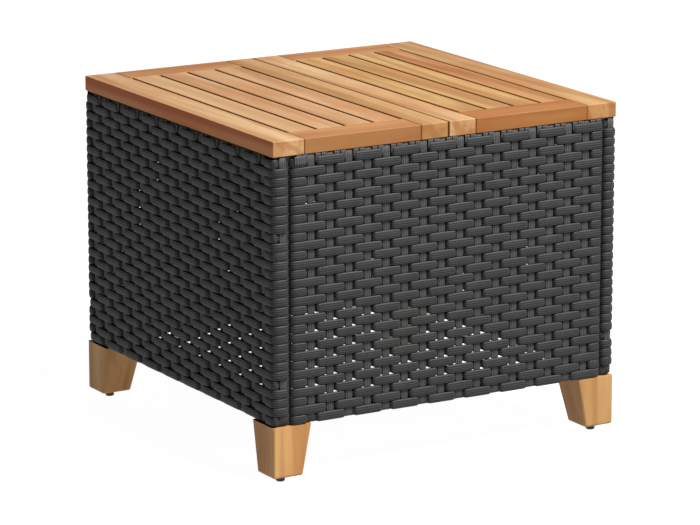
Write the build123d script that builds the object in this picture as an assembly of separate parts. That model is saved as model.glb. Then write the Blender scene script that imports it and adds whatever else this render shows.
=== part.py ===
from build123d import *
import os

# Wicker coffee table: a slatted acacia top on a tube frame that is woven round with flat plastic
# strands, on four short wooden legs with screw-in levelling glides.
# Millimetres. The origin is on the floor, under the centre of the top. +Z is up, and the front faces -Y.

# Overall size
WIDTH = 450.0
DEPTH = 450.0
HEIGHT = 389.0

# Wooden top: two framed halves, side by side
TOP_THICKNESS = 17.5
HALF_SEAM = 1.0
OUTER_STILE = 39.5
INNER_STILE = 35.5
TOP_RAIL = 40.0
SLATS_PER_HALF = 4
SLAT_GAP = 2.8
EDGE_EASE = 1.0
TONGUE_THICKNESS = 6.0
TONGUE_LENGTH = 7.5
TONGUE_SHOULDER = 3.0
GROOVE_DEPTH = 8.0
GROOVE_CLEARANCE = 0.1
DOWEL_RADIUS = 4.0
DOWEL_LENGTH = 40.0
DOWEL_INSETS = (7.5, 22.0)
BATTEN_WIDTH = 30.0
BATTEN_THICKNESS = 12.0

# Tube frame
TUBE = 20.0
TUBE_WALL = 1.0
FRAME_INSET = 4.5
PLATE_SIZE = 45.0
PLATE_THICKNESS = 3.0

# Woven skin
WEAVE_THICKNESS = 6.0
WEAVE_PROUD = 1.5
WEAVE_HEIGHT = 304.0
CORNER_COLUMN = 18.0
COLUMN_GROOVE = 3.0
CORNER_RADIUS = 6.0

# Legs and glides
LEG_HEIGHT = 58.5
LEG_TOP = 49.0
LEG_BOTTOM = 37.6
LEG_PROUD = 1.2
LEG_ROUND = 3.0
GLIDE_HEIGHT = 8.0
GLIDE_RADIUS = 5.25
GLIDE_CHAMFER = 1.0
STUD_RADIUS = 3.0
STUD_LENGTH = 20.0
INSERT_RADIUS = 4.5
INSERT_LENGTH = 16.0
RUNNING_CLEARANCE = 0.05

# Fasteners
BOLT_RADIUS = 4.0
BOLT_IN_LEG = 30.0
BOLT_ABOVE_NUT = 2.0
NUT_ACROSS_FLATS = 13.0
NUT_HEIGHT = 6.5
SCREW_RADIUS = 2.0
SCREW_BITE = 11.0
SCREW_HEAD_RADIUS = 4.0
SCREW_HEAD_HEIGHT = 2.4
HOLE_CLEARANCE = 0.05

# Levels
top_low = HEIGHT - TOP_THICKNESS
top_mid = HEIGHT - TOP_THICKNESS / 2
leg_low = GLIDE_HEIGHT
leg_high = leg_low + LEG_HEIGHT
plate_high = leg_high + PLATE_THICKNESS
weave_high = top_low - 0.5
weave_low = weave_high - WEAVE_HEIGHT

# Plan distances from the centre lines
half_width = WIDTH / 2
half_depth = DEPTH / 2
stile_inner = half_width - OUTER_STILE
stile_centre = HALF_SEAM / 2 + INNER_STILE
rail_inner = half_depth - TOP_RAIL
frame_face = half_width - FRAME_INSET
tube_axis = frame_face - TUBE / 2
tube_inner = frame_face - TUBE
weave_face = half_width + WEAVE_PROUD
leg_face = half_width + LEG_PROUD
glide_axis = leg_face - LEG_BOTTOM / 2

SIDES = {"left": -1, "right": 1}
ENDS = {"front": -1, "back": 1}
CORNERS = [(f"{end}_{side}", sx, sy) for end, sy in ENDS.items() for side, sx in SIDES.items()]


def span(a, b):
    """Two numbers as a low and a high."""
    return (min(a, b), max(a, b))


def middle(pair):
    return (pair[0] + pair[1]) / 2


def length(pair):
    return pair[1] - pair[0]


def block(x, y, z):
    """A box between three pairs of low and high."""
    return Pos(middle(x), middle(y), middle(z)) * Box(length(x), length(y), length(z))


def upright(x, y, z, radius):
    """A vertical cylinder at x, y between the two heights in z."""
    return Pos(x, y, middle(z)) * Cylinder(radius, length(z))


def write(name, shape):
    export_step(shape, f"parts/{name}.step")


def write_group(name, solids):
    """Identical small parts go into one file as separate solids."""
    export_step(Compound(children=solids), f"parts/{name}.step")


def drill(part, holes):
    """The part less every hole whose box meets it."""
    box = part.bounding_box()
    for hole in holes:
        near = hole.bounding_box()
        if near.min.X < box.max.X and near.max.X > box.min.X:
            if near.min.Y < box.max.Y and near.max.Y > box.min.Y:
                if near.min.Z < box.max.Z and near.max.Z > box.min.Z:
                    part = part - hole
    return part


# Dowels: two in each end of each rail, across the joint with the stile


def dowel_places():
    for sx in SIDES.values():
        for joint in (stile_inner, stile_centre):
            for sy in ENDS.values():
                for inset in DOWEL_INSETS:
                    yield sx * joint, sy * (half_depth - inset)


def dowel(x, y, slack=0.0):
    shape = Cylinder(DOWEL_RADIUS + slack, DOWEL_LENGTH - 1 + 10 * slack, rotation=(0, 90, 0))
    return Pos(x, y, top_mid) * shape


# Screws: vertical, driven up from below, with a countersunk head


def screw(x, y, under, length_up, slack=0.0):
    """A screw whose head is flush with the height under, reaching length_up above it."""
    shank = upright(x, y, (under, under + length_up + 4 * slack), SCREW_RADIUS + slack)
    cone = Cone(SCREW_HEAD_RADIUS + slack, SCREW_RADIUS + slack, SCREW_HEAD_HEIGHT)
    return shank + Pos(x, y, under + SCREW_HEAD_HEIGHT / 2) * cone


def slat_spans(sx):
    """The slats of one half, in X, from the outer stile inwards."""
    pitch_room = stile_inner - stile_centre - SLAT_GAP
    pitch = pitch_room / SLATS_PER_HALF
    for index in range(SLATS_PER_HALF):
        outer = stile_inner - SLAT_GAP - index * pitch
        yield span(sx * outer, sx * (outer - pitch + SLAT_GAP))


def batten_span(sx):
    return span(sx * (tube_inner - 2), sx * (TUBE / 2 + 2))


def batten_screw_places():
    for sx in SIDES.values():
        for slat in slat_spans(sx):
            yield middle(slat), 0.0
        yield sx * (stile_inner + 4.5), 0.0
        yield sx * (stile_centre - 12), 0.0


def frame_screw_places():
    """Screws through the upper tubes into the boards above."""
    for sx in SIDES.values():
        for sy in ENDS.values():
            for x in (20.0, 72.0, 150.0):
                yield sx * x, sy * tube_axis
            yield sx * tube_axis, sy * 100.0
            yield sx * 5.5, sy * 90.0


def batten_screw(x, y, slack=0.0):
    return screw(x, y, top_low - BATTEN_THICKNESS, BATTEN_THICKNESS + SCREW_BITE, slack)


def frame_screw(x, y, slack=0.0):
    return screw(x, y, top_low - TUBE, TUBE + SCREW_BITE, slack)


board_holes = [dowel(x, y, HOLE_CLEARANCE) for x, y in dowel_places()]
board_holes += [batten_screw(x, y, HOLE_CLEARANCE) for x, y in batten_screw_places()]
board_holes += [frame_screw(x, y, HOLE_CLEARANCE) for x, y in frame_screw_places()]


# Wooden top


def board(x, y, z=(top_low, HEIGHT)):
    """A plank with every edge eased."""
    plank = block(x, y, z)
    return fillet(plank.edges(), EDGE_EASE)


def top_rail(sx, sy):
    """A rail between two stiles, with a groove along its inner edge for the slats' tongues."""
    x = span(sx * stile_inner, sx * stile_centre)
    rail = board(x, span(sy * half_depth, sy * rail_inner))
    half_groove = TONGUE_THICKNESS / 2 + GROOVE_CLEARANCE
    groove_y = span(sy * rail_inner, sy * (rail_inner + GROOVE_DEPTH))
    return rail - block(x, groove_y, (top_mid - half_groove, top_mid + half_groove))


def slat(x):
    """A slat between the rails, with a tongue on each end."""
    plank = board(x, (-rail_inner, rail_inner))
    tongue_x = (x[0] + TONGUE_SHOULDER, x[1] - TONGUE_SHOULDER)
    reach = rail_inner + TONGUE_LENGTH
    tongue_z = (top_mid - TONGUE_THICKNESS / 2, top_mid + TONGUE_THICKNESS / 2)
    return plank + block(tongue_x, (-reach, reach), tongue_z)


def write_top_half(side, sx):
    outer = board(span(sx * half_width, sx * stile_inner), (-half_depth, half_depth))
    inner = board(span(sx * HALF_SEAM / 2, sx * stile_centre), (-half_depth, half_depth))
    write(f"top_{side}_outer_stile", drill(outer, board_holes))
    write(f"top_{side}_inner_stile", drill(inner, board_holes))
    for end, sy in ENDS.items():
        write(f"top_{side}_{end}_rail", drill(top_rail(sx, sy), board_holes))
    for number, x in enumerate(slat_spans(sx), start=1):
        write(f"top_{side}_slat_{number}", drill(slat(x), board_holes))
    half_batten = BATTEN_WIDTH / 2
    batten = board(batten_span(sx), (-half_batten, half_batten), (top_low - BATTEN_THICKNESS, top_low))
    write(f"top_{side}_batten", drill(batten, board_holes))


# Tube frame


def tube(x, y, z, along):
    """Square tube in the given box, hollow along one axis."""
    spans = [x, y, z]
    bore = []
    for axis, pair in zip("xyz", spans):
        bore.append(pair if axis == along else (pair[0] + TUBE_WALL, pair[1] - TUBE_WALL))
    return block(x, y, z) - block(*bore)


def write_frame():
    levels = {"upper": (top_low - TUBE, top_low), "lower": (plate_high, plate_high + TUBE)}
    between_posts = (-tube_inner, tube_inner)
    for name, sx, sy in CORNERS:
        x = span(sx * frame_face, sx * tube_inner)
        y = span(sy * frame_face, sy * tube_inner)
        write(f"frame_post_{name}", tube(x, y, (plate_high, top_low), "z"))
    for level, z in levels.items():
        for end, sy in ENDS.items():
            y = span(sy * frame_face, sy * tube_inner)
            rail = tube(between_posts, y, z, "x")
            write(f"frame_{level}_rail_{end}", drill(rail, board_holes))
        for side, sx in SIDES.items():
            x = span(sx * frame_face, sx * tube_inner)
            rail = tube(x, between_posts, z, "y")
            write(f"frame_{level}_rail_{side}", drill(rail, board_holes))
    cross = tube((-TUBE / 2, TUBE / 2), between_posts, levels["upper"], "y")
    write("frame_cross_rail", drill(cross, board_holes))


def write_leg_plates():
    for name, sx, sy in CORNERS:
        x = span(sx * frame_face, sx * (frame_face - PLATE_SIZE))
        y = span(sy * frame_face, sy * (frame_face - PLATE_SIZE))
        plate = block(x, y, (leg_high, plate_high))
        plate = fillet(plate.edges().filter_by(Axis.Z), EDGE_EASE)
        hole = upright(sx * tube_axis, sy * tube_axis, (leg_high, plate_high), BOLT_RADIUS + 0.3)
        write(f"leg_plate_{name}", plate - hole)


# Woven skin. The side panels' strands turn round the corner posts onto the front and the back.


def write_weave():
    z = (weave_low, weave_high)
    column_edge = weave_face - CORNER_COLUMN
    panel_edge = column_edge - COLUMN_GROOVE
    for end, sy in ENDS.items():
        panel = block((-panel_edge, panel_edge), span(sy * weave_face, sy * frame_face), z)
        write(f"weave_{end}", panel)
    for side, sx in SIDES.items():
        shell = block(span(sx * weave_face, sx * column_edge), (-weave_face, weave_face), z)
        outer = shell.edges().filter_by(Axis.Z).sort_by(Axis.X)
        corners = outer[:2] if sx < 0 else outer[-2:]
        shell = fillet(corners, CORNER_RADIUS)
        inside = block(span(sx * frame_face, sx * column_edge), (-frame_face, frame_face), z)
        write(f"weave_{side}", shell - inside)


# Legs: upright outside faces, and inside faces that taper towards the floor


def leg(sx, sy):
    faces = []
    for size, z in ((LEG_BOTTOM, leg_low), (LEG_TOP, leg_high)):
        centre = leg_face - size / 2
        faces.append(Plane.XY.offset(z) * Pos(sx * centre, sy * centre) * Rectangle(size, size))
    body = loft(faces, ruled=True)
    level = body.edges().group_by(Axis.Z)
    rounded = level[0] + level[1]
    body = fillet(rounded, LEG_ROUND)
    bolt_z = (leg_high - BOLT_IN_LEG - 1, leg_high)
    bolt_hole = upright(sx * tube_axis, sy * tube_axis, bolt_z, BOLT_RADIUS + HOLE_CLEARANCE)
    insert_z = (leg_low, leg_low + STUD_LENGTH + 1)
    insert_hole = upright(sx * glide_axis, sy * glide_axis, insert_z, INSERT_RADIUS + HOLE_CLEARANCE)
    return body - bolt_hole - insert_hole


def leg_bolt(sx, sy):
    z = (leg_high - BOLT_IN_LEG, plate_high + NUT_HEIGHT + BOLT_ABOVE_NUT)
    bolt = upright(sx * tube_axis, sy * tube_axis, z, BOLT_RADIUS)
    return chamfer(bolt.edges().filter_by(GeomType.CIRCLE), 0.8)


def weld_nut(sx, sy):
    prism = extrude(RegularPolygon(NUT_ACROSS_FLATS / 2, 6, major_radius=False), NUT_HEIGHT)
    nut = Pos(sx * tube_axis, sy * tube_axis, plate_high) * prism
    bore = (plate_high, plate_high + NUT_HEIGHT)
    return nut - upright(sx * tube_axis, sy * tube_axis, bore, BOLT_RADIUS + HOLE_CLEARANCE)


def glide_insert(sx, sy):
    z = (leg_low, leg_low + INSERT_LENGTH)
    sleeve = upright(sx * glide_axis, sy * glide_axis, z, INSERT_RADIUS)
    return sleeve - upright(sx * glide_axis, sy * glide_axis, z, STUD_RADIUS + RUNNING_CLEARANCE)


def glide(sx, sy):
    """A round foot on a threaded stud, screwed home against the leg."""
    foot = upright(sx * glide_axis, sy * glide_axis, (0, GLIDE_HEIGHT), GLIDE_RADIUS)
    rim = foot.edges().filter_by(GeomType.CIRCLE).sort_by(Axis.Z)
    foot = chamfer(rim[0], GLIDE_CHAMFER)
    stud_z = (GLIDE_HEIGHT, GLIDE_HEIGHT + STUD_LENGTH)
    return foot + upright(sx * glide_axis, sy * glide_axis, stud_z, STUD_RADIUS)


os.makedirs("parts", exist_ok=True)

for side, sx in SIDES.items():
    write_top_half(side, sx)
write_frame()
write_leg_plates()
write_weave()
for name, sx, sy in CORNERS:
    write(f"leg_{name}", leg(sx, sy))
    write(f"glide_{name}", glide(sx, sy))
write_group("top_dowels", [dowel(x, y) for x, y in dowel_places()])
write_group("batten_screws", [batten_screw(x, y) for x, y in batten_screw_places()])
write_group("frame_screws", [frame_screw(x, y) for x, y in frame_screw_places()])
write_group("leg_bolts", [leg_bolt(sx, sy) for _, sx, sy in CORNERS])
write_group("weld_nuts", [weld_nut(sx, sy) for _, sx, sy in CORNERS])
write_group("glide_inserts", [glide_insert(sx, sy) for _, sx, sy in CORNERS])
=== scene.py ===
import math

import bpy
import numpy as np
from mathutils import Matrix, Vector


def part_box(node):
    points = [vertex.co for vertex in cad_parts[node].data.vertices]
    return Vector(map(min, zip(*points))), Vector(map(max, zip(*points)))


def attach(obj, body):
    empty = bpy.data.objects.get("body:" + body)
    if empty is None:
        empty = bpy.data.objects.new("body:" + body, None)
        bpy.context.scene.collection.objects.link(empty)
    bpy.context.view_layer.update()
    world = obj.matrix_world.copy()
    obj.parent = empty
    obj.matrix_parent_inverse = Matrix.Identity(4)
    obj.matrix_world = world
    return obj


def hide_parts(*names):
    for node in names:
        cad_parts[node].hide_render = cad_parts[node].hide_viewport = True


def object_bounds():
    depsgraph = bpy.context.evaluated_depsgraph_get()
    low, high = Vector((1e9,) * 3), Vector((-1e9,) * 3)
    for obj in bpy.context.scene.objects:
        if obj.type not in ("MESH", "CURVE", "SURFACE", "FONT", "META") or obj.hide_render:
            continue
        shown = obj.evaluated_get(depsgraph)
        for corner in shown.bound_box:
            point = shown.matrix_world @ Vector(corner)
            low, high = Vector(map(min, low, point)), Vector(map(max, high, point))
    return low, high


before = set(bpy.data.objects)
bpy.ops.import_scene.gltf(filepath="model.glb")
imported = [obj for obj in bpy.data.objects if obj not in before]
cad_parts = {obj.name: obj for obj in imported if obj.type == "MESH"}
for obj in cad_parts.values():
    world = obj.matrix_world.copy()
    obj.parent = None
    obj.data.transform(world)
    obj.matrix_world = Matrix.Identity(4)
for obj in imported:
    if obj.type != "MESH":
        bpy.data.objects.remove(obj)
cad_low, cad_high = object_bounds()

MM = 0.001
SEED = 11

# Faces and levels of the woven body, from the CAD
skin_low, skin_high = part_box("weave_front")
rail_low, rail_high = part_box("frame_lower_rail_front")
FRAME_FACE = -rail_low[1]
RAIL_DEPTH = rail_high[1] - rail_low[1]
RAIL_LOW = rail_low[2]
WEAVE_TOP = skin_high[2]
WEAVE_LOW = skin_low[2]
PLATE_INNER = -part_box("leg_plate_front_left")[1][0]

# Horizontal strands. Levels are measured outwards from the face of the frame. A groove is how far the
# painted shade between two ribs gives way to the rib colour, from 0 at the strand's edges, all painted
# shade, to 1 on a rib. BACK_WIDTH is a share of its height, and ribs are lower where the crown is under
# RIB_FADE of its dome.
ROWS = 29
ROW_PITCH = 10.37 * MM
STRAND_HEIGHT = 10.8 * MM
STRAND_DOME = 1.7 * MM
STRAND_BACK = 0.5 * MM
STRAND_RIBS = 4
STRAND_GROOVE = 0.2
RIB_DEPTH = 0.36 * MM
RIB_FADE = 0.5
CROWN_FLATNESS = 3
CROWN_EDGE = 0.8
BACK_WIDTH = 0.85
OVER = 4.2 * MM
UNDER = 0.4 * MM
SIDE_LIFT = 1.4 * MM

# Where a strand dives under an upright, as distances from the middle of that upright
DIVE_START = 8.6 * MM
DIVE_END = 6.4 * MM
NARROW_START = 12.0 * MM
NARROW_END = 7.0 * MM
WIDE_AGAIN = 4.2 * MM
DIVE_RINGS = tuple(d * MM for d in (4.2, 6.0, 6.6, 7.1, 7.6, 8.2, 9.0, 10.2, 12.0))
FLAT_STEP = 7.5 * MM

# Height of a strand where it is narrowed, on the front and back and on the sides
PANEL_PINCHED = 8.0 * MM
SIDE_PINCHED = 8.7 * MM

# The last row narrows less, and a hem strand lies behind it, most of the way under (-1)
LAST_ROW_NARROWED = 0.2
HEM_SIDE = -0.75

# Strand ends turn in at the grooves
END_RADIUS = 5.0 * MM
END_RINGS = tuple(d * MM for d in (0.25, 1.0, 2.5, 5.0))
END_LEVEL = -1.2 * MM
END_NARROWED = 0.4

# Unevenness of the strands
ROW_DRIFT = 0.1 * MM
BULGE = (0.05 * MM, 0.16 * MM)
BULGE_WAVE = 61 * MM
SWAY = 0.1 * MM
SWAY_WAVE = 47 * MM
LEAN = 0.015

# Upright strands
STAKE_LEVEL = 2.1 * MM
STAKE_WIDTH = 9.4 * MM
STAKE_DOME = 0.8 * MM
STAKE_GROOVE = 0.1
STAKE_RIBS = 4
STAKE_RINGS = 40
COLUMN_STAKE_WIDTH = 8.8 * MM
HOOK_BEND = 2.6 * MM
HOOK_GAP = 1.2 * MM
HOOK_TAIL = 18 * MM
HOOK_STEPS = 4

# Short wraps that bind the top edge, two in each pitch between stakes, and clear of the corner columns
WRAP_PLACES = (0.35, 0.67)
WRAP_WIDTH = 7.3 * MM
WRAP_RIBS = 3
WRAP_LEVEL = 3.4 * MM
WRAP_LENGTH = 9.0 * MM
WRAP_RINGS = 6
WRAP_CLEAR = 5 * MM

# Wide wrap over the first row, next to the left column
END_WRAP_WIDTH = 14.5 * MM
END_WRAP_RIBS = 5
END_WRAP_DROP = 1 * MM
END_WRAP_REACH = 2 * MM

# Each face is laid out from left to right, as it is seen from outside
FRONT = {
    "first": -176.3 * MM,
    "pitch": 24.1 * MM,
    "count": 16,
    "low": -201.5 * MM,
    "high": 207.0 * MM,
    "end_wrap": -192.0 * MM,
}
SIDE = {"first": -206.4 * MM, "pitch": 23.85 * MM, "count": 18}

# The corner columns on the front and back: where their strands end, their upright strands, and the rows
# that go under those
LEFT_COLUMN = -206.4 * MM
RIGHT_COLUMN = 211.0 * MM
COLUMN_STAKES = (-212.0 * MM, 218.8 * MM)
LOCKED_LEFT = (0, 8, 24, 28)
LOCKED_RIGHT = (0, 24, 28)

# The side strands turn round the corner posts
POST_RADIUS = 1.2 * MM
CORNER = FRAME_FACE - POST_RADIUS
CORNER_ARC = POST_RADIUS * math.pi / 2

# Direction along each face and direction outwards
FACES = {
    "front": (Vector((1, 0, 0)), Vector((0, -1, 0))),
    "right": (Vector((0, 1, 0)), Vector((1, 0, 0))),
    "back": (Vector((-1, 0, 0)), Vector((0, 1, 0))),
    "left": (Vector((0, -1, 0)), Vector((-1, 0, 0))),
}


# Line and section of a strand


def smooth_step(t):
    return (1 - np.cos(np.pi * np.clip(t, 0, 1))) / 2


def row_height(row):
    return WEAVE_LOW + (ROWS - row - 0.5) * ROW_PITCH


def weave_line(s, places, signs):
    """Along a strand: how far it is over the uprights (+1) or under them (-1), and how far it is
    narrowed (0 to 1)."""
    places = np.asarray(places)
    signs = np.asarray(signs, float)
    index = np.clip(np.searchsorted(places, s) - 1, 0, len(places) - 2)
    before, after = places[index], places[index + 1]
    sign_before, sign_after = signs[index], signs[index + 1]
    distance = np.where(sign_after > sign_before, s - before, after - s)
    risen = smooth_step((distance - DIVE_END) / (DIVE_START - DIVE_END))
    low = np.minimum(sign_before, sign_after)
    high = np.maximum(sign_before, sign_after)
    round_end = np.clip((NARROW_START - distance) / (NARROW_START - NARROW_END), 0, 1)
    widened = smooth_step((distance - WIDE_AGAIN) / (NARROW_END - WIDE_AGAIN))
    narrowed = (1 - np.sqrt(1 - round_end**2)) * widened
    narrowed = np.where((high > low) & (np.abs(s) < CORNER), narrowed, 0)
    return low + (high - low) * risen, narrowed


def places_between(knots, step):
    """Places from the first knot to the last, at most a step apart, that include every knot."""
    parts = []
    for low, high in zip(knots[:-1], knots[1:]):
        count = max(1, int(math.ceil((high - low) / step - 1e-6)))
        parts.append(np.linspace(low, high, count, endpoint=False))
    return np.append(np.concatenate(parts), knots[-1])


def strand_rings(places, signs, bends=()):
    """Where a strand's rings go: close together at its ends and where it dives, and far apart where
    it is flat."""
    knots = [*places, *bends]
    for before, after, sign_before, sign_after in zip(places[:-1], places[1:], signs[:-1], signs[1:]):
        if sign_before < sign_after:
            knots += [before + d for d in DIVE_RINGS]
        if sign_before > sign_after:
            knots += [after - d for d in DIVE_RINGS]
    knots += [places[0] + d for d in END_RINGS] + [places[-1] - d for d in END_RINGS]
    knots = sorted(k for k in knots if places[0] <= k <= places[-1])
    return places_between(knots, FLAT_STEP)


def ribbed_section(ribs, half_width, dome, groove):
    """Section of a strand as (across, outward, ridge) points: domed and ribbed outside, and flat inside.
    ridge is the mask of painted shade: 1 on a rib, where the strand keeps its own colour, groove between
    two ribs, and 0 at the strand's edges and back, which are painted near black."""
    steps = 3 * ribs
    outline = []
    for step in range(steps + 1):
        a = -1 + 2 * step / steps
        on_rib = step % 3 > 0
        crown = dome * (1 - abs(a) ** CROWN_FLATNESS) ** CROWN_EDGE
        rib = RIB_DEPTH * on_rib * min(1, crown / (RIB_FADE * dome))
        ridge = 1 if on_rib else groove * (abs(a) < 1)
        outline.append((a * half_width, crown + rib, ridge))
    outline.append((BACK_WIDTH * half_width, -STRAND_BACK, 0))
    outline.append((-BACK_WIDTH * half_width, -STRAND_BACK, 0))
    return np.array(outline)


def to_world(face, u, w, z):
    """u along the face, w outwards from the frame and z up, as xyz."""
    along, outward = FACES[face]
    depth = FRAME_FACE + w
    return np.stack([along[0] * u + outward[0] * depth, along[1] * u + outward[1] * depth, z], -1)


def around_posts(s):
    """Points and outward normals in plan, as (u, w), along a face and on round the post at each end."""
    point = np.stack([s, np.zeros_like(s)], -1)
    normal = np.tile([0.0, 1.0], (len(s), 1))
    for sign in (-1, 1):
        past = sign * s - CORNER
        bend = past > 0
        angle = np.clip(past / POST_RADIUS, 0, math.pi / 2)
        run = np.clip(past - CORNER_ARC, 0, None)
        u = CORNER + POST_RADIUS * np.sin(angle)
        w = POST_RADIUS * (np.cos(angle) - 1) - run
        point[bend] = np.stack([sign * u, w], -1)[bend]
        normal[bend] = np.stack([sign * np.sin(angle), np.cos(angle)], -1)[bend]
    return point, normal


def sideways(line):
    """Unit vectors square to a plane line, on its left."""
    direction = np.gradient(line, axis=0)
    direction /= np.linalg.norm(direction, axis=1)[:, None]
    return np.stack([-direction[:, 1], direction[:, 0]], -1)


# Strands


def piece_from_tubes(name, tubes):
    """One mesh from several (tube, section) pairs. A tube is an array of rings by points by xyz."""
    verts, faces, ridges, start = [], [], [], 0
    for tube, section in tubes:
        count, around, _ = tube.shape
        verts.append(tube.reshape(-1, 3))
        ridges.append(np.tile(section[:, 2], count))
        ring = start + np.arange(count - 1)[:, None] * around
        point = np.arange(around)[None, :]
        after = (point + 1) % around
        quads = np.stack([ring + point, ring + after, ring + around + after, ring + around + point], -1)
        faces.extend(quads.reshape(-1, 4).tolist())
        faces.append([start + i for i in reversed(range(around))])
        faces.append([start + (count - 1) * around + i for i in range(around)])
        start += count * around
    mesh = bpy.data.meshes.new(name)
    mesh.from_pydata(np.concatenate(verts).tolist(), [], faces)
    # ridge carries the mask of painted shade in the grooves, along the edges and on the back of each strand
    ridge = mesh.attributes.new("ridge", "FLOAT", "POINT")
    ridge.data.foreach_set("value", np.concatenate(ridges).astype(np.float32))
    mesh.shade_smooth()
    piece = bpy.data.objects.new(name, mesh)
    bpy.context.scene.collection.objects.link(piece)
    return piece


def weaver(face, places, signs, row, rng, pinched=PANEL_PINCHED, lift=0, bends=()):
    """One horizontal strand, over or under the uprights at its places along the face."""
    z = row_height(row) + lift + rng.normal(0, ROW_DRIFT)
    s = strand_rings(places, signs, bends)
    side, narrowed = weave_line(s, places, signs)
    phase = rng.uniform(0, 2 * math.pi)
    level = UNDER + (OVER - UNDER) * (side + 1) / 2
    level = level + rng.uniform(*BULGE) * np.sin(s / BULGE_WAVE + phase)
    to_end = np.minimum(s - s[0], s[-1] - s)
    rounding = np.sqrt(1 - np.clip(1 - to_end / END_RADIUS, 0, 1) ** 2)
    level = END_LEVEL + (level - END_LEVEL) * rounding
    narrowed = np.maximum(narrowed, END_NARROWED * (1 - rounding))
    share = LAST_ROW_NARROWED if row == ROWS - 1 else 1
    height = STRAND_HEIGHT - (STRAND_HEIGHT - pinched) * narrowed * share
    point, normal = around_posts(s)
    centre = point + normal * level[:, None]
    section = ribbed_section(STRAND_RIBS, 0.5, STRAND_DOME, STRAND_GROOVE)
    across = section[:, 0][None, :] * height[:, None]
    out = section[:, 1][None, :] + rng.normal(0, LEAN) * across
    flat = centre[:, None, :] + sideways(centre)[:, None, :] * out[:, :, None]
    sway = SWAY * np.sin(s / SWAY_WAVE + 2 * phase)
    return to_world(face, flat[..., 0], flat[..., 1], z + sway[:, None] + across), section


def upright(face, u, path, width, ribs=STAKE_RIBS):
    """One upright strand that follows (w, z) points."""
    path = np.asarray(path)
    section = ribbed_section(ribs, width / 2, STAKE_DOME, STAKE_GROOVE)
    flat = path[:, None, :] + sideways(path)[:, None, :] * section[:, 1][None, :, None]
    across = np.broadcast_to(u + section[:, 0][None, :], flat.shape[:2])
    return to_world(face, across, flat[..., 0], flat[..., 1]), section


def straight_path(level, top, low, count=STAKE_RINGS):
    return [(level, z) for z in np.linspace(top, low, count)]


def hooked_path(level, top):
    """Down the face, under the bottom rail and a little way up its back."""
    under = RAIL_LOW - HOOK_GAP
    back = -RAIL_DEPTH - HOOK_GAP
    centre = under + HOOK_BEND
    points = straight_path(level, top, centre)
    quarter = [math.radians(90 * step / HOOK_STEPS) for step in range(1, HOOK_STEPS + 1)]
    for a in quarter:
        points.append((level - HOOK_BEND * (1 - math.cos(a)), centre - HOOK_BEND * math.sin(a)))
    for a in quarter:
        points.append((back + HOOK_BEND * (1 - math.sin(a)), centre - HOOK_BEND * math.cos(a)))
    return points + [(back, under + HOOK_TAIL)]


def upright_strands(face, stakes, pitch, end_wraps):
    """The stakes, the short wraps between them that bind the top edge, and the wide wraps over the
    first row. A stake hooks round the bottom rail unless a leg plate is in its way."""
    tubes = []
    straight = straight_path(STAKE_LEVEL, WEAVE_TOP, RAIL_LOW)
    hooked = hooked_path(STAKE_LEVEL, WEAVE_TOP)
    for u in stakes:
        clear_of_plates = abs(u) < PLATE_INNER - STAKE_WIDTH
        tubes.append(upright(face, u, hooked if clear_of_plates else straight, STAKE_WIDTH))
    for u in [stakes[0] - pitch, *stakes]:
        for wrap in (u + part * pitch for part in WRAP_PLACES):
            if abs(wrap) < -LEFT_COLUMN - WRAP_CLEAR:
                path = straight_path(WRAP_LEVEL, WEAVE_TOP, WEAVE_TOP - WRAP_LENGTH, WRAP_RINGS)
                tubes.append(upright(face, wrap, path, WRAP_WIDTH, WRAP_RIBS))
    for u in end_wraps:
        top, low = WEAVE_TOP - END_WRAP_DROP, row_height(0) - END_WRAP_REACH
        path = straight_path(OVER + STRAND_DOME, top, low, WRAP_RINGS)
        tubes.append(upright(face, u, path, END_WRAP_WIDTH, END_WRAP_RIBS))
    return piece_from_tubes(f"weave_{face}_stakes", tubes)


def column_stakes():
    """The upright strand in each corner column, on the front and the back."""
    path = straight_path(STAKE_LEVEL, WEAVE_TOP, RAIL_LOW)
    tubes = [upright(face, u, path, COLUMN_STAKE_WIDTH) for face in ("front", "back") for u in COLUMN_STAKES]
    return piece_from_tubes("weave_corner_stakes", tubes)


def stake_places(layout):
    return [layout["first"] + i * layout["pitch"] for i in range(layout["count"])]


def weave_panel(face):
    """The front or back: strands that end in the groove beside each corner column, and a hem behind
    the last."""
    rng = np.random.default_rng([SEED, *face.encode()])
    stakes = stake_places(FRONT)
    places = [FRONT["low"], *stakes, FRONT["high"]]
    tubes = []
    for row in range(ROWS):
        woven = [1 if (i + row) % 2 else -1 for i in range(len(stakes))]
        tubes.append(weaver(face, places, [1, *woven, 1], row, rng))
    tubes.append(weaver(face, places, [HEM_SIDE] * len(places), ROWS - 1, rng))
    uprights = upright_strands(face, stakes, FRONT["pitch"], [FRONT["end_wrap"]])
    return piece_from_tubes(f"weave_{face}_strands", tubes), uprights


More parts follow.
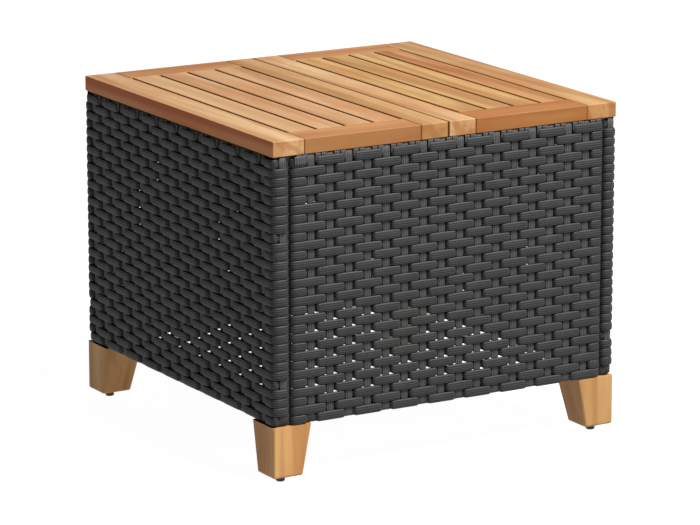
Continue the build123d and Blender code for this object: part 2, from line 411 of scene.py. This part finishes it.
def weave_side(face):
    """The left or right: strands and a hem that turn round the corner posts onto the front and back."""
    rng = np.random.default_rng([SEED, *face.encode()])
    stakes = stake_places(SIDE)
    turned = 2 * CORNER + CORNER_ARC
    low, low_lock = RIGHT_COLUMN - turned, COLUMN_STAKES[1] - turned
    high, high_lock = turned + LEFT_COLUMN, turned + COLUMN_STAKES[0]
    places = [low, low_lock, -CORNER, *stakes, CORNER, high_lock, high]
    bends = [sign * (CORNER + part * CORNER_ARC) for sign in (-1, 1) for part in (0, 0.5, 1)]
    tubes = []
    for row in range(ROWS):
        woven = [1 if (i + row) % 2 == 0 else -1 for i in range(len(stakes))]
        locks = [-1 if row in rows else 1 for rows in (LOCKED_RIGHT, LOCKED_LEFT)]
        signs = [1, locks[0], 1, *woven, 1, locks[1], 1]
        tubes.append(weaver(face, places, signs, row, rng, SIDE_PINCHED, SIDE_LIFT, bends))
    tubes.append(weaver(face, places, [HEM_SIDE] * len(places), ROWS - 1, rng, SIDE_PINCHED, 0, bends))
    strands = piece_from_tubes(f"weave_{face}_strands", tubes)
    return strands, upright_strands(face, stakes, SIDE["pitch"], [])


# Materials


class Nodes:
    """Short names for building a node tree."""

    def __init__(self, name):
        self.material = bpy.data.materials.new(name)
        self.material.use_nodes = True
        self.tree = self.material.node_tree
        self.shader = self.tree.nodes["Principled BSDF"]

    def add(self, kind, inputs=None, **settings):
        node = self.tree.nodes.new(kind)
        for key, value in settings.items():
            setattr(node, key, value)
        for key, value in (inputs or {}).items():
            self.put(node.inputs[key], value)
        return node

    def put(self, socket, value):
        if isinstance(value, bpy.types.NodeSocket):
            self.tree.links.new(value, socket)
        else:
            socket.default_value = value

    def surface(self, **values):
        """Sets the shader's inputs. An input's name is written with _ for its spaces."""
        for key, value in values.items():
            self.put(self.shader.inputs[key.replace("_", " ")], value)

    def place(self, scale=(1, 1, 1), offset=(0, 0, 0)):
        where = self.add("ShaderNodeTexCoord").outputs["Object"]
        return self.add("ShaderNodeMapping", {"Vector": where, "Scale": scale, "Location": offset}).outputs[0]

    def parts(self, coordinate):
        """The X, Y and Z of a texture coordinate."""
        where = self.add("ShaderNodeTexCoord").outputs[coordinate]
        return self.add("ShaderNodeSeparateXYZ", {"Vector": where}).outputs

    def noise(self, vector, scale, detail=2.0, roughness=0.5):
        inputs = {"Vector": vector, "Scale": scale, "Detail": detail, "Roughness": roughness}
        return self.add("ShaderNodeTexNoise", inputs).outputs["Fac"]

    def math(self, operation, a, b=0.0):
        node = self.add("ShaderNodeMath", operation=operation)
        self.put(node.inputs[0], a)
        self.put(node.inputs[1], b)
        return node.outputs[0]

    def scaled(self, value, factor):
        return self.math("MULTIPLY", value, factor)

    def between(self, value, low, high):
        """low where value is 0, and high where it is 1."""
        return self.math("ADD", low, self.scaled(value, high - low))

    def ramp(self, value, start, end):
        """0 up to start and 1 from end."""
        node = self.add("ShaderNodeValToRGB", {"Fac": value})
        for element, place in zip(node.color_ramp.elements, (start, end)):
            element.position = place
        return node.outputs["Color"]

    def mix(self, factor, a, b, blend="MIX"):
        node = self.add("ShaderNodeMix", data_type="RGBA", blend_type=blend)
        self.put(node.inputs["Factor"], factor)
        for key, value in (("A", a), ("B", b)):
            socket = [i for i in node.inputs if i.name == key and i.type == "RGBA"][0]
            self.put(socket, value if isinstance(value, bpy.types.NodeSocket) else (*value, 1))
        return [o for o in node.outputs if o.type == "RGBA"][0]

    def bump(self, height, strength, distance):
        inputs = {"Height": height, "Strength": strength, "Distance": distance}
        self.surface(Normal=self.add("ShaderNodeBump", inputs).outputs[0])


# Colours of the wood, linear as all colours here
HONEY = (0.276, 0.165, 0.079)
ROSE = (0.253, 0.139, 0.065)
AMBER = (0.25, 0.143, 0.053)
CARAMEL = (0.23, 0.126, 0.05)
RUSSET = (0.215, 0.096, 0.034)
CHESTNUT = (0.2, 0.083, 0.0246)
STRAW = (0.345, 0.184, 0.069)
WHEAT = (0.28, 0.15, 0.056)
BEECH = (0.62, 0.44, 0.27)
HEARTWOOD_LIGHT = (0.34, 0.125, 0.03)
HEARTWOOD_DARK = (0.26, 0.052, 0.003)
# Colour of the painted shade beside the joints between boards
JOINT_SHADE_BROWN = (0.13, 0.05, 0.009)

# Colour of the strands in a groove and on a rib: painted shade, near black, for the grooves, edges and
# back, and the strands' own colour on the ribs
WEAVER_SHADES = ((0.002, 0.002, 0.002), (0.0285, 0.0277, 0.0272))
STAKE_SHADES = ((0.004, 0.0039, 0.0038), (0.056, 0.0545, 0.0535))

# How the figure of the wood changes a board's red, green and blue. Light bands add a share of them, and
# the others are factors.
FIGURE_LIGHTER = (0.24, 0.36, 0.46)
FIGURE_DARK = (0.66, 0.52, 0.4)
FIGURE_RED = (0.95, 0.76, 0.64)
BLUSH_STRENGTH = 0.4
RING_STRENGTH = 0.55
STREAK_STRENGTH = 0.6
PORE_STRENGTH = 0.35
END_GRAIN = (0.97, 0.8, 0.68)
END_GRAIN_STRENGTH = 0.8

# How far each pattern is drawn out along the grain, as the texture's scale there
GRAIN_STRETCH = 0.05
BLUSH_STRETCH = 0.35
PORE_STRETCH = 0.012
GRAIN_WANDER = 0.05

# Painted shade of the joints between boards: how far it reaches into each board, and how dark it gets
JOINT_SHADE_WIDTH = 1.8 * MM
JOINT_SHADE_STRENGTH = 0.85

# Tone, strength of figure and direction of grain of each wooden piece
BOARDS = {
    "top_left_outer_stile": (HONEY, 0.9, "Y"),
    "top_left_slat_1": (HONEY, 0.5, "Y"),
    "top_left_slat_2": (ROSE, 0.6, "Y"),
    "top_left_slat_3": (ROSE, 0.55, "Y"),
    "top_left_slat_4": (ROSE, 1.0, "Y"),
    "top_left_inner_stile": (CARAMEL, 0.7, "Y"),
    "top_left_front_rail": (RUSSET, 0.6, "X"),
    "top_left_back_rail": (RUSSET, 0.6, "X"),
    "top_left_batten": (RUSSET, 0.8, "X"),
    "top_right_inner_stile": (HONEY, 1.0, "Y"),
    "top_right_slat_4": (AMBER, 1.1, "Y"),
    "top_right_slat_3": (AMBER, 1.1, "Y"),
    "top_right_slat_2": (AMBER, 1.1, "Y"),
    "top_right_slat_1": (RUSSET, 1.0, "Y"),
    "top_right_outer_stile": (CARAMEL, 0.8, "Y"),
    "top_right_front_rail": (CHESTNUT, 0.7, "X"),
    "top_right_back_rail": (RUSSET, 0.6, "X"),
    "top_right_batten": (RUSSET, 0.8, "X"),
    "leg_front_left": (STRAW, 0.7, "Z"),
    "leg_front_right": (WHEAT, 0.7, "Z"),
    "leg_back_left": (STRAW, 0.7, "Z"),
    "leg_back_right": (STRAW, 0.7, "Z"),
}
HEARTWOOD_BOARD = "top_left_outer_stile"
ZINC_NODES = ("batten_screws", "frame_screws", "leg_bolts", "weld_nuts", "glide_inserts")


def tinted(tone, factors):
    """A colour with its red, green and blue each multiplied."""
    return tuple(c * k for c, k in zip(tone, factors))


def drawn_out(grain_axis, share):
    """Texture scale that draws a pattern out along the grain."""
    scale = [1.0, 1.0, 1.0]
    scale["XYZ".index(grain_axis)] = share
    return tuple(scale)


def wood_patterns(n, grain_axis, offset):
    """The patterns of a board: broad bands, a red blush, growth rings, streaks and pores."""
    base = n.place(drawn_out(grain_axis, GRAIN_STRETCH), offset)
    bend = n.scaled(n.math("SUBTRACT", n.noise(base, scale=9.0), 0.5), GRAIN_WANDER)
    bent = n.add("ShaderNodeVectorMath", {0: base, 1: bend}, operation="ADD").outputs[0]
    waves = {"Vector": bent, "Scale": 12.0, "Distortion": 6.0, "Detail": 3.0, "Detail Scale": 1.6}
    rings = n.add("ShaderNodeTexWave", waves, wave_type="BANDS", bands_direction="DIAGONAL")
    return {
        "broad": n.noise(bent, scale=26.0),
        "blush": n.noise(n.place(drawn_out(grain_axis, BLUSH_STRETCH), offset), scale=17.0),
        "rings": rings.outputs["Fac"],
        "streak": n.noise(bent, scale=110.0, detail=4.0, roughness=0.62),
        "pores": n.noise(n.place(drawn_out(grain_axis, PORE_STRETCH), offset), scale=1400.0, roughness=0.6),
    }


def acacia(name, tone, depth, grain_axis, offset, heart=False, joint_shade=0):
    """Oiled acacia. tone is the board's own colour, and depth how strongly its grain shows. A board with
    heart has heartwood in its left edge. The last argument is how far the painted shade of a joint goes
    into each side, as a share of the board's width."""
    n = Nodes(name)
    pattern = wood_patterns(n, grain_axis, offset)
    light = tinted(tone, [1 + k * depth for k in FIGURE_LIGHTER])
    dark = tinted(tone, FIGURE_DARK)
    blush = n.scaled(n.ramp(pattern["blush"], 0.44, 0.62), BLUSH_STRENGTH * (1 + depth))
    ring_line = n.scaled(n.ramp(pattern["rings"], 0.55, 0.95), RING_STRENGTH * depth)
    streak_line = n.scaled(n.ramp(pattern["streak"], 0.5, 0.68), STREAK_STRENGTH * depth)
    pore_line = n.scaled(n.ramp(pattern["pores"], 0.58, 0.7), PORE_STRENGTH)
    colour = n.mix(n.ramp(pattern["broad"], 0.4, 0.62), tone, light)
    colour = n.mix(blush, colour, tinted(tone, FIGURE_RED))
    colour = n.mix(ring_line, colour, dark)
    colour = n.mix(streak_line, colour, dark)
    colour = n.mix(pore_line, colour, dark)
    facing = n.parts("Normal")
    within = n.parts("Generated")
    if heart:
        colour = with_heartwood(n, colour, facing, within, pattern["broad"], streak_line)
    # Painted shade beside the joints
    if joint_shade:
        colour = with_joint_shade(n, colour, within, joint_shade)
    end_grain = n.ramp(n.math("ABSOLUTE", facing[grain_axis]), 0.5, 0.9)
    colour = n.mix(n.scaled(end_grain, END_GRAIN_STRENGTH), colour, END_GRAIN, "MULTIPLY")
    n.surface(Base_Color=colour, Roughness=n.between(pattern["streak"], 0.38, 0.58), Specular_IOR_Level=0.12)
    n.bump(n.math("SUBTRACT", pattern["streak"], n.scaled(pore_line, 1.5)), strength=0.35, distance=0.25 * MM)
    return n.material


def with_heartwood(n, colour, facing, within, broad, streak_line):
    """Dark heartwood along the top of the board's left edge, and lighter heartwood below it."""
    edge = n.ramp(n.scaled(facing["X"], -1.0), 0.5, 0.8)
    band = n.math("ADD", within["Z"], n.scaled(n.math("SUBTRACT", broad, 0.5), 1.1))
    core = n.mix(n.ramp(band, 0.22, 0.56), HEARTWOOD_LIGHT, HEARTWOOD_DARK)
    return n.mix(edge, colour, n.mix(streak_line, core, HEARTWOOD_DARK))


def with_joint_shade(n, colour, within, joint_shade):
    """Painted shade, in brown, beside the joints at the board's two X sides, darkest at the joint."""
    from_middle = n.math("ABSOLUTE", n.math("SUBTRACT", within["X"], 0.5))
    line = n.scaled(n.ramp(from_middle, 0.5 - joint_shade, 0.5 - 0.4 * joint_shade), JOINT_SHADE_STRENGTH)
    return n.mix(line, colour, JOINT_SHADE_BROWN)


def strand_plastic(name, shade, ridge_shade):
    """Satin black polyethylene strand, uneven in colour and sheen. shade is painted shade, near black, in
    the grooves between the ribs, along the strand's edges and on its back, and the ribs keep the strand's
    own colour.
    """
    n = Nodes(name)
    ridge = n.add("ShaderNodeAttribute", attribute_type="GEOMETRY", attribute_name="ridge").outputs["Fac"]
    patches = n.noise(n.place(), scale=60.0, detail=3.0, roughness=0.6)
    speckle = n.noise(n.place(), scale=1500.0, roughness=0.6)
    # Painted shade: the ribs get the strand's own colour, and the grooves, edges and back stay near black,
    # unevenly by the patches
    unshaded = n.math("MULTIPLY", ridge, n.between(patches, 0.6, 1.2))
    colour = n.mix(patches, tinted(shade, [0.8] * 3), tinted(shade, [1.25] * 3))
    colour = n.mix(unshaded, colour, ridge_shade)
    n.surface(Base_Color=colour, Roughness=n.between(patches, 0.48, 0.68), Specular_IOR_Level=0.2)
    n.bump(n.math("ADD", patches, n.scaled(speckle, 0.3)), strength=0.3, distance=0.12 * MM)
    return n.material


def powder_coat():
    n = Nodes("frame_coating")
    peel = n.noise(n.place(), scale=900.0)
    shade = n.noise(n.place(), scale=22.0, detail=3.0)
    colour = n.mix(shade, (0.018, 0.018, 0.019), (0.03, 0.03, 0.031))
    n.surface(Base_Color=colour, Roughness=n.between(peel, 0.42, 0.62))
    n.bump(peel, strength=0.3, distance=0.1 * MM)
    return n.material


def moulded_plastic():
    n = Nodes("glide_plastic")
    grain = n.noise(n.place(), scale=1800.0)
    scuff = n.noise(n.place(), scale=160.0, detail=4.0, roughness=0.7)
    colour = n.mix(scuff, (0.012, 0.012, 0.013), (0.028, 0.028, 0.028))
    n.surface(Base_Color=colour, Roughness=n.between(scuff, 0.4, 0.7))
    n.bump(grain, strength=0.3, distance=0.08 * MM)
    return n.material


def zinc_plate():
    n = Nodes("zinc_steel")
    bloom = n.noise(n.place(), scale=260.0, detail=4.0, roughness=0.6)
    brush = n.noise(n.place((1, 1, 0.08)), scale=2400.0)
    colour = n.mix(bloom, (0.48, 0.49, 0.5), (0.7, 0.71, 0.7))
    n.surface(Base_Color=colour, Roughness=n.between(bloom, 0.25, 0.5), Metallic=1.0)
    n.bump(brush, strength=0.2, distance=0.05 * MM)
    return n.material


def studio_white():
    """Glows almost as bright as white paper, and shows only a faint shadow."""
    n = Nodes("studio_floor")
    shade = n.noise(n.place(), scale=1.5)
    colour = n.mix(shade, (0.09, 0.09, 0.09), (0.11, 0.11, 0.11))
    n.surface(Base_Color=colour, Roughness=0.9, Specular_IOR_Level=0.1)
    n.surface(Emission_Color=(1, 1, 1, 1), Emission_Strength=0.98)
    return n.material


# The object


def dress(node, material):
    """Gives a CAD node its material in every slot."""
    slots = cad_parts[node].material_slots
    for place in slots:
        place.material = material
    if not slots:
        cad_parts[node].data.materials.append(material)


def joint_shade_share(node):
    """How far the painted shade of the joints reaches into the board, as a share of its width. The outer
    stiles have an open side, and the legs no joint that shows.
    """
    if "outer" in node or not node.startswith("top"):
        return 0
    low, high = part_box(node)
    return JOINT_SHADE_WIDTH / (high[0] - low[0])


def dress_frame():
    rng = np.random.default_rng(SEED)
    for node, (tone, depth, axis) in BOARDS.items():
        offset = tuple(float(v) for v in rng.uniform(-3, 3, 3))
        heart = node == HEARTWOOD_BOARD
        dress(node, acacia(f"acacia_{node}", tone, depth, axis, offset, heart, joint_shade_share(node)))
    coat, moulded, zinc = powder_coat(), moulded_plastic(), zinc_plate()
    beech = acacia("beech_dowel", BEECH, 0.3, "X", (1.0, 2.0, 3.0))
    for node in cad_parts:
        if node in BOARDS or node.startswith("weave_"):
            continue
        if node == "top_dowels":
            dress(node, beech)
        elif node in ZINC_NODES:
            dress(node, zinc)
        elif node.startswith("glide_"):
            dress(node, moulded)
        else:
            dress(node, coat)


def build_weave():
    weaver_plastic = strand_plastic("wicker_weavers", *WEAVER_SHADES)
    stake_plastic = strand_plastic("wicker_stakes", *STAKE_SHADES)
    pieces = []
    for face in FACES:
        woven = weave_panel(face) if face in ("front", "back") else weave_side(face)
        for piece in woven:
            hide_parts(f"weave_{face}")
            pieces.append(piece)
    corners = column_stakes()
    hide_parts("weave_left", "weave_right")
    pieces.append(corners)
    for piece in pieces:
        piece.data.materials.append(weaver_plastic if piece.name.endswith("_strands") else stake_plastic)
        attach(piece, "table")


# Studio

CAMERA_AZIMUTH = math.radians(-30.59)
CAMERA_ELEVATION = math.radians(13.48)
CAMERA_DISTANCE = 4.59
CAMERA_LENS = 201.5
CAMERA_REACH = 100
AIM_RIGHT = 0.0045
AIM_DOWN = -0.0128

# Position, size and power of each lamp, and the point that they are turned to
LAMPS = {"key": ((0.9, -1.75, 3.2), 1.5, 420), "sheen": ((1.7, 2.9, 1.1), 2.2, 7)}
LAMP_TARGET = (0, 0, 0.25)
SKY_STRENGTH = 0.06
FLOOR_REACH = 30.0
FLOOR_GAP = 0.2 * MM


def place_camera():
    centre = (cad_low + cad_high) / 2
    sweep = math.cos(CAMERA_ELEVATION)
    x, y = math.sin(CAMERA_AZIMUTH) * sweep, -math.cos(CAMERA_AZIMUTH) * sweep
    back = Vector((x, y, math.sin(CAMERA_ELEVATION)))
    right = Vector((0, 0, 1)).cross(back).normalized()
    up = back.cross(right)
    camera = bpy.data.objects.new("camera", bpy.data.cameras.new("camera"))
    bpy.context.scene.collection.objects.link(camera)
    camera.location = centre + back * CAMERA_DISTANCE + right * AIM_RIGHT + up * AIM_DOWN
    camera.rotation_mode = "QUATERNION"
    camera.rotation_quaternion = back.to_track_quat("Z", "Y")
    camera.data.lens = CAMERA_LENS
    camera.data.clip_end = CAMERA_REACH
    bpy.context.scene.camera = camera


def area_lamp(name, position, size, power):
    data = bpy.data.lights.new(name, "AREA")
    data.shape = "SQUARE"
    data.size = size
    data.energy = power
    lamp = bpy.data.objects.new(name, data)
    bpy.context.scene.collection.objects.link(lamp)
    lamp.location = position
    lamp.rotation_mode = "QUATERNION"
    lamp.rotation_quaternion = (Vector(position) - Vector(LAMP_TARGET)).to_track_quat("Z", "Y")


def build_floor():
    corners = [(x * FLOOR_REACH, y * FLOOR_REACH, 0) for x, y in ((-1, -1), (1, -1), (1, 1), (-1, 1))]
    mesh = bpy.data.meshes.new("studio_floor")
    mesh.from_pydata(corners, [], [(0, 1, 2, 3)])
    mesh.materials.append(studio_white())
    floor = bpy.data.objects.new("studio_floor", mesh)
    bpy.context.scene.collection.objects.link(floor)
    floor.location.z = cad_low[2] - FLOOR_GAP


def build_sky():
    world = bpy.data.worlds.new("studio")
    world.use_nodes = True
    background = world.node_tree.nodes["Background"]
    background.inputs["Color"].default_value = (1, 1, 1, 1)
    background.inputs["Strength"].default_value = SKY_STRENGTH
    bpy.context.scene.world = world


def build_studio():
    build_floor()
    build_sky()
    for name, (position, size, power) in LAMPS.items():
        area_lamp(name, position, size, power)
    bpy.context.scene.view_settings.view_transform = "Standard"


dress_frame()
build_weave()
place_camera()
build_studio()
